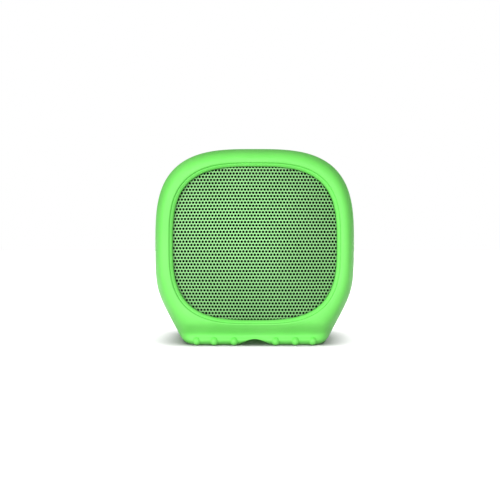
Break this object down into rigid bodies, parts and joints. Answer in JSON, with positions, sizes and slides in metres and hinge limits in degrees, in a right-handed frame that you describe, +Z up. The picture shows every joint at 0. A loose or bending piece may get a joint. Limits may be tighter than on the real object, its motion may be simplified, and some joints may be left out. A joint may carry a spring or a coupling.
{
  "type": "portable bluetooth speaker",
  "caption": "Palm-sized rounded-square bluetooth speaker in a silicone skin with small toed feet, a domed perforated front grille, and push buttons, slide switch and sockets on the back.",
  "frame": {"origin": "on the surface that the feet stand on, midway between the sides and midway between the bezel rim and the back", "axes": "+X to the right seen from the front, +Y from the grille towards the back panel, +Z up"},
  "size_m": [0.0724, 0.054, 0.069],
  "materials": {
    "silicone_green": "soft matt bright green silicone",
    "grille_metal": "pale green satin paint on perforated steel sheet",
    "speaker_cloth": "black acoustic cloth",
    "case_plastic": "fine textured black ABS",
    "panel_plastic": "fine textured black ABS",
    "button_plastic": "satin off-white ABS",
    "clear_plastic": "clear polycarbonate light pipe",
    "foam": "black closed-cell foam",
    "paper_cone": "black pressed paper fibre",
    "surround_rubber": "soft matt black rubber",
    "spider_cloth": "impregnated amber cloth",
    "steel": "zinc-plated pressed steel",
    "ferrite": "dark sintered ferrite",
    "kapton": "amber polyimide film",
    "copper": "enamelled copper wire",
    "nickel": "bright nickel plate",
    "screw_steel": "zinc-plated screw steel",
    "board": "green solder mask on glass-epoxy",
    "chip_epoxy": "black moulded epoxy",
    "capacitor_sleeve": "dark blue shrink sleeve",
    "battery_wrap": "silver laminated pouch",
    "connector_nylon": "natural nylon",
    "wire_red": "red PVC insulation",
    "wire_black": "black PVC insulation"
  },
  "bodies": {
    "case": {"silicone_skin": "silicone_green", "front_grille": "grille_metal", "grille_cloth": "speaker_cloth", "front_housing": "case_plastic", "rear_housing": "case_plastic", "housing_seal": "surround_rubber", "rear_panel": "panel_plastic", "case_screws": "screw_steel", "board_screws": "screw_steel", "bracket_screws": "screw_steel", "tact_switches": "chip_epoxy", "slide_switch": "nickel", "aux_socket": "chip_epoxy", "usb_socket": "nickel", "usb_tongue": "chip_epoxy", "light_pipe": "clear_plastic", "status_led": "connector_nylon", "microphone": "nickel", "main_board": "board", "bluetooth_chip": "chip_epoxy", "amplifier_chip": "chip_epoxy", "charger_chip": "chip_epoxy", "filter_capacitors": "capacitor_sleeve", "battery": "battery_wrap", "battery_pad": "foam", "battery_bracket": "case_plastic", "driver_basket": "steel", "driver_gasket": "foam", "driver_screws": "screw_steel", "top_plate": "steel", "magnet": "ferrite", "yoke": "steel", "surround": "surround_rubber", "spider": "spider_cloth", "driver_terminals": "nickel", "speaker_leads": "wire_red", "battery_leads": "wire_black", "lead_connectors": "connector_nylon"},
    "minus_button": {"button_minus": "button_plastic", "switch_plunger_minus": "button_plastic"},
    "play_button": {"button_play": "button_plastic", "switch_plunger_play": "button_plastic"},
    "plus_button": {"button_plus": "button_plastic", "switch_plunger_plus": "button_plastic"},
    "switch_knob": {"power_switch_knob": "button_plastic"},
    "cone": {"speaker_cone": "paper_cone", "dust_cap": "paper_cone", "coil_former": "kapton", "voice_coil": "copper"}
  },
  "joints": [
    {"name": "minus_press", "type": "slide", "parent": "case", "child": "minus_button", "axis": [0, -1, 0], "range_m": [0, 0.0005], "stiffness_N_per_m": 400, "springref_m": -0.0005},
    {"name": "play_press", "type": "slide", "parent": "case", "child": "play_button", "axis": [0, -1, 0], "range_m": [0, 0.0005], "stiffness_N_per_m": 400, "springref_m": -0.0005},
    {"name": "plus_press", "type": "slide", "parent": "case", "child": "plus_button", "axis": [0, -1, 0], "range_m": [0, 0.0005], "stiffness_N_per_m": 400, "springref_m": -0.0005},
    {"name": "power_switch_slide", "type": "slide", "parent": "case", "child": "switch_knob", "axis": [1, 0, 0], "range_m": [0, 0.003]},
    {"name": "cone_travel", "type": "slide", "parent": "case", "child": "cone", "axis": [0, -1, 0], "range_m": [-0.001, 0.001], "stiffness_N_per_m": 800, "deforming": ["surround", "spider"]}
  ]
}
